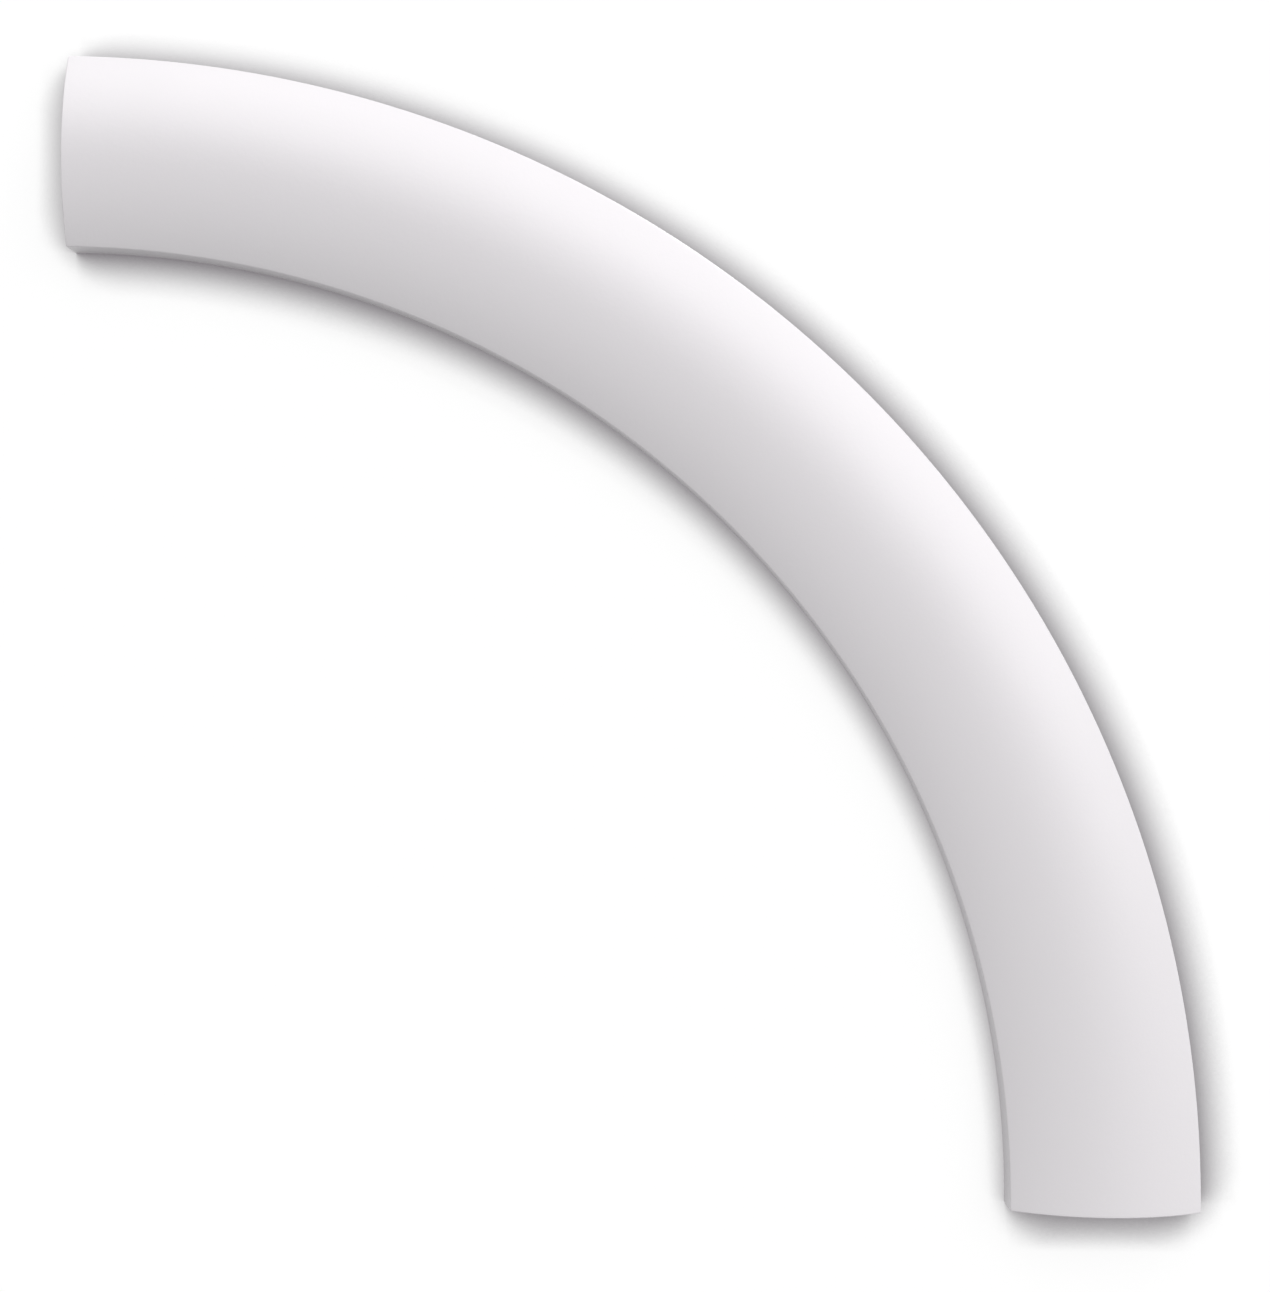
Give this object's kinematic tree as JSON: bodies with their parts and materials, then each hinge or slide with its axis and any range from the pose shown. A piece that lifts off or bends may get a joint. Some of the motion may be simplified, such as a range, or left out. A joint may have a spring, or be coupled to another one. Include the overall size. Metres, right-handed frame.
{
  "type": "moulding corner piece",
  "caption": "Quarter-circle corner of a plain crowned panel moulding, with a flat back to glue to a wall and square ends that meet straight lengths.",
  "frame": {"origin": "middle of the square of wall that the corner fills, on the flat back", "axes": "+Z out of the wall through the crowned face; the curve's centre is at -X -Y; one end faces -Y and the other -X"},
  "size_m": [0.3, 0.3, 0.015],
  "materials": {
    "primed_foam": "matt white primer over rigid cast foam"
  },
  "bodies": {
    "root": {"moulding_corner": "primed_foam"}
  },
  "joints": []
}
